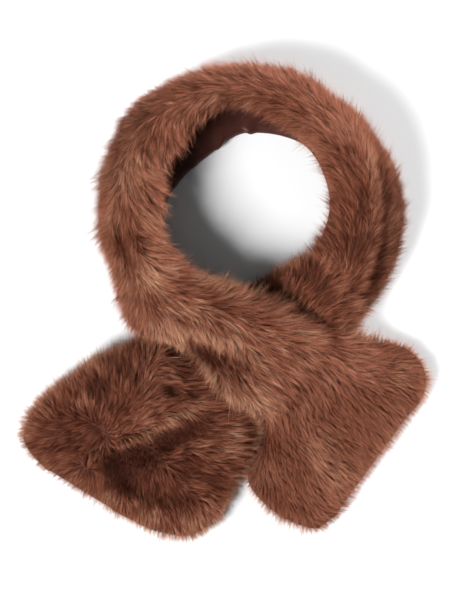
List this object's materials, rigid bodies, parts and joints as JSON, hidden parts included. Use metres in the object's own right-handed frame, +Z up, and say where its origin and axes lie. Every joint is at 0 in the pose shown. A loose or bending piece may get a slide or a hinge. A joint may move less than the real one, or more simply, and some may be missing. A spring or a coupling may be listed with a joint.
{
  "type": "fur collar wrap",
  "caption": "Long-pile faux fur collar wrap with a smooth lining, lying flat, wound into a neck ring with its two wide ends crossed in front.",
  "frame": {"origin": "middle of the wrap's outline seen from above, on the surface that it lies on", "axes": "+Z up from the surface, +Y from the crossed ends to the back of the neck, +X to the viewer's right"},
  "size_m": [0.3404, 0.3938, 0.0605],
  "materials": {
    "fur": "long soft pile, reddish brown",
    "lining": "smooth satin, dark brown"
  },
  "bodies": {
    "root": {"fur_neck_right": "fur", "lining_neck_right": "lining", "fur_neck_back": "fur", "lining_neck_back": "lining", "fur_neck_left": "fur", "lining_neck_left": "lining", "fur_under_end": "fur", "fur_over_end": "fur"}
  },
  "joints": []
}
